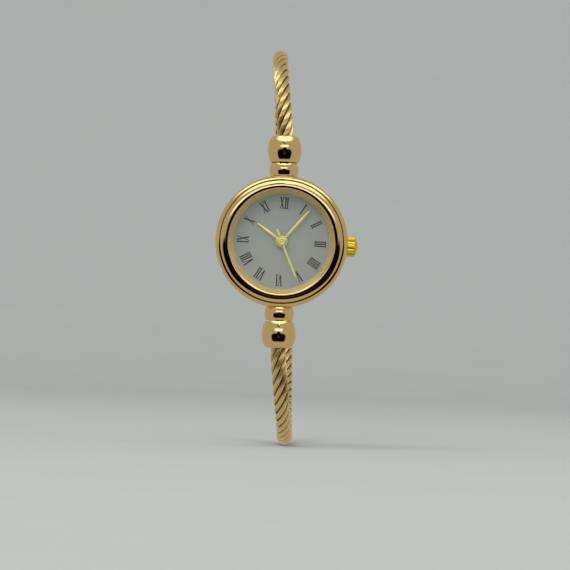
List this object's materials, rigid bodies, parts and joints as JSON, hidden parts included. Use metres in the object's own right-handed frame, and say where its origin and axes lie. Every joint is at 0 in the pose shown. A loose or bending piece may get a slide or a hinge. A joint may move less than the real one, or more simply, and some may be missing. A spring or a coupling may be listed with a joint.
{
  "type": "ladies' cable bangle watch",
  "caption": "Small round gold dress watch on a twisted cable bangle that hinges on one bead beside the case and hooks onto the other.",
  "frame": {"origin": "middle of the wrist opening, between the case back and the rear of the loop", "axes": "+X out of the 3 o'clock side along the wrist, the dial faces -Y, +Z towards 12 o'clock"},
  "size_m": [0.024, 0.0564, 0.0695],
  "materials": {
    "case_gold": "polished gold plating",
    "case_back_gold": "polished gold plating",
    "cable_gold": "polished gold plating on fine twisted wires",
    "crown_gold": "polished yellow gold plating",
    "hand_gold": "polished yellow gold plating",
    "rehaut_gold": "fine grained matt gold",
    "crystal_glass": "clear and polished",
    "dial_grey": "satin silver grey",
    "gasket_white": "smooth",
    "gasket_black": "smooth",
    "holder_plastic": "moulded",
    "movement_brass": "turned",
    "movement_steel": "turned",
    "rotor_magnet": "dark grey sintered magnet",
    "coil_copper": "lacquered copper wire",
    "board_green": "glass fibre board",
    "chip_black": "moulded"
  },
  "bodies": {
    "watch_head": {"case": "case_gold", "crystal": "crystal_glass", "crystal_gasket": "gasket_white", "rehaut_ring": "rehaut_gold", "dial": "dial_grey", "case_back": "case_back_gold", "back_gasket": "gasket_black", "movement_holder": "holder_plastic", "main_plate": "movement_brass", "train_bridge": "movement_brass", "movement_screws": "movement_steel", "circuit_board": "board_green", "driver_chip": "chip_black", "quartz_can": "movement_steel", "battery": "movement_steel", "battery_strap": "movement_steel", "stator": "movement_steel", "coil_core": "movement_steel", "coil": "coil_copper", "crown_tube": "movement_steel", "hinge_bead": "case_gold", "latch_bead": "case_gold", "hinge_pin": "movement_steel", "latch_bar": "movement_steel"},
    "bangle": {"hinge_tongue": "movement_steel", "hinge_ball": "case_gold", "latch_ball": "case_gold", "latch_hook": "movement_steel", "cable_core": "cable_gold", "cable_strand_1": "cable_gold", "cable_strand_2": "cable_gold", "cable_strand_3": "cable_gold", "cable_strand_4": "cable_gold", "cable_strand_5": "cable_gold", "cable_strand_6": "cable_gold"},
    "crown_seal": {"crown_gasket": "gasket_black"},
    "winding_crown": {"crown": "crown_gold", "setting_stem": "movement_steel"},
    "seconds": {"second_wheel": "movement_brass", "second_hand": "hand_gold"},
    "third": {"third_wheel": "movement_brass"},
    "intermediate": {"intermediate_wheel": "movement_brass"},
    "step_rotor": {"rotor": "rotor_magnet"},
    "minutes": {"centre_wheel": "movement_brass", "cannon_pinion": "movement_steel", "minute_hand": "hand_gold"},
    "motion_work": {"minute_wheel": "movement_brass"},
    "hours": {"hour_wheel": "movement_brass", "hour_hand": "hand_gold"}
  },
  "joints": [
    {"name": "bangle_hinge", "type": "hinge", "parent": "watch_head", "child": "bangle", "pos_m": [0, -0.0268, 0.0121], "axis": [1, 0, 0], "range_deg": [0, 45]},
    {"name": "crown_pull", "type": "slide", "parent": "watch_head", "child": "crown_seal", "axis": [0.9994, 0, -0.0349], "range_m": [0, 0.001]},
    {"name": "crown_turn", "type": "hinge", "parent": "crown_seal", "child": "winding_crown", "pos_m": [0.01199, -0.0261, -0.00042], "axis": [0.9994, 0, -0.0349], "continuous": true},
    {"name": "second_hand_turn", "type": "hinge", "parent": "watch_head", "child": "seconds", "pos_m": [0, -0.0275, 0], "axis": [0, 1, 0], "continuous": true},
    {"name": "third_wheel_turn", "type": "hinge", "parent": "watch_head", "child": "third", "pos_m": [0.00154, -0.0275, 0.00247], "axis": [0, 1, 0], "continuous": true},
    {"name": "intermediate_wheel_turn", "type": "hinge", "parent": "watch_head", "child": "intermediate", "pos_m": [-0.0015, -0.0275, -0.0024], "axis": [0, 1, 0], "continuous": true},
    {"name": "rotor_turn", "type": "hinge", "parent": "watch_head", "child": "step_rotor", "pos_m": [-0.00158, -0.0275, -0.00458], "axis": [0, 1, 0], "continuous": true},
    {"name": "minute_hand_turn", "type": "hinge", "parent": "watch_head", "child": "minutes", "pos_m": [0, -0.0275, 0], "axis": [0, 1, 0], "continuous": true},
    {"name": "minute_wheel_turn", "type": "hinge", "parent": "watch_head", "child": "motion_work", "pos_m": [0.00291, -0.0275, -0.0001], "axis": [0, 1, 0], "continuous": true},
    {"name": "hour_hand_turn", "type": "hinge", "parent": "watch_head", "child": "hours", "pos_m": [0, -0.0275, 0], "axis": [0, 1, 0], "continuous": true}
  ],
  "couplings": [
    {"joint": "third_wheel_turn", "follows": "second_hand_turn", "ratio": -0.13333},
    {"joint": "intermediate_wheel_turn", "follows": "second_hand_turn", "ratio": -6},
    {"joint": "rotor_turn", "follows": "second_hand_turn", "ratio": 30},
    {"joint": "minute_hand_turn", "follows": "second_hand_turn", "ratio": 0.016667},
    {"joint": "minute_wheel_turn", "follows": "second_hand_turn", "ratio": -0.0055556},
    {"joint": "hour_hand_turn", "follows": "second_hand_turn", "ratio": 0.0013889}
  ]
}
